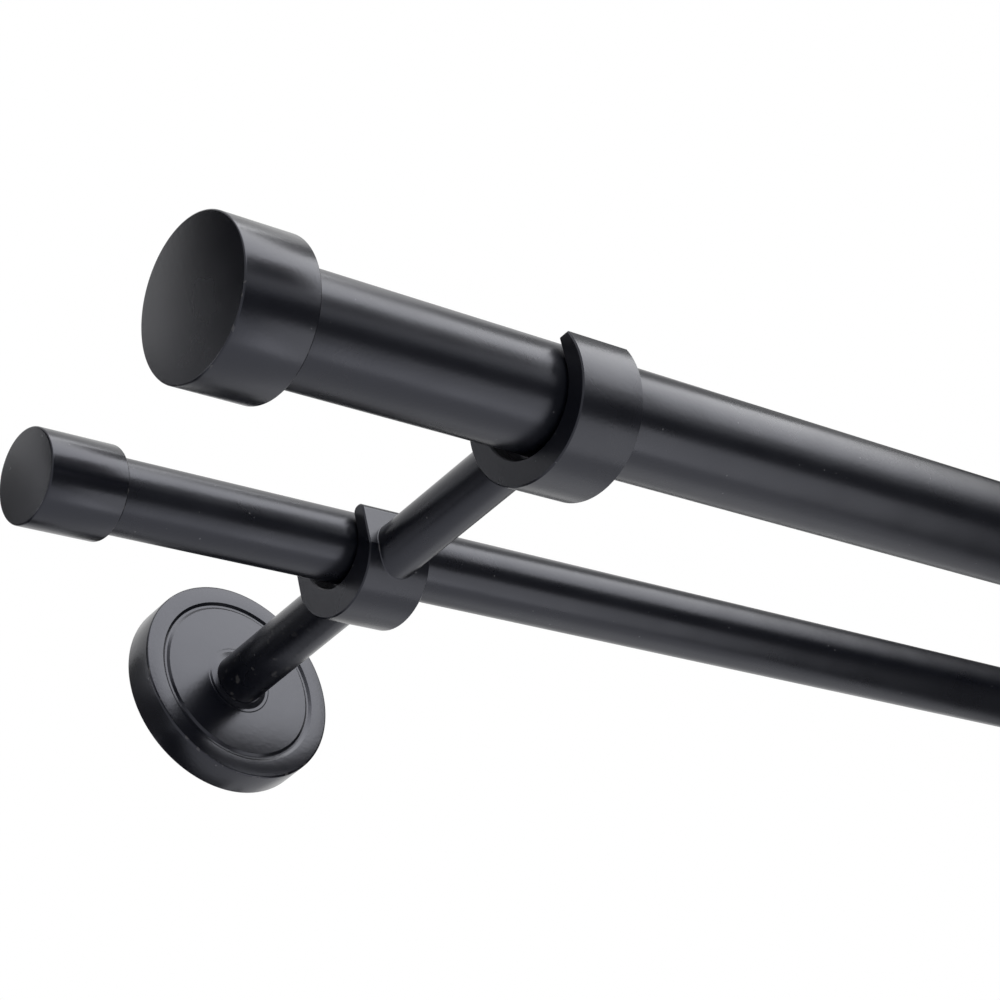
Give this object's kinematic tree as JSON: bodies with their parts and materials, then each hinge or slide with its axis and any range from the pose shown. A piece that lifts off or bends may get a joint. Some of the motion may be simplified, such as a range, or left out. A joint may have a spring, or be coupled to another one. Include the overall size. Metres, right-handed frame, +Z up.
{
  "type": "double curtain pole",
  "caption": "Double curtain pole: a thick front pole and a thinner rear pole with flat end caps, lying in open cups on round arms from wall roses.",
  "frame": {"origin": "middle of the left bracket's wall plate, on the wall's face and on the axis of the bracket's arms", "axes": "+X runs along the poles to the right as seen from the room, +Y points into the wall, +Z is up"},
  "size_m": [1.211, 0.1645, 0.0582],
  "materials": {
    "pole_black": "satin black powder coat on steel tube",
    "cap_black": "satin black paint on turned metal",
    "bracket_black": "satin black powder coat on metal",
    "rose_black": "satin black powder coat on metal",
    "zinc_steel": "bright zinc plated steel, hidden"
  },
  "bodies": {
    "root": {"front_pole": "pole_black", "rear_pole": "pole_black", "front_left_cap": "cap_black", "front_right_cap": "cap_black", "rear_left_cap": "cap_black", "rear_right_cap": "cap_black", "left_front_cup": "bracket_black", "left_rear_cup": "bracket_black", "left_front_arm": "bracket_black", "left_rear_arm": "bracket_black", "left_rose": "rose_black", "left_wall_plate": "zinc_steel", "right_front_cup": "bracket_black", "right_rear_cup": "bracket_black", "right_front_arm": "bracket_black", "right_rear_arm": "bracket_black", "right_rose": "rose_black", "right_wall_plate": "zinc_steel", "cup_screws": "zinc_steel", "arm_studs": "zinc_steel"}
  },
  "joints": []
}
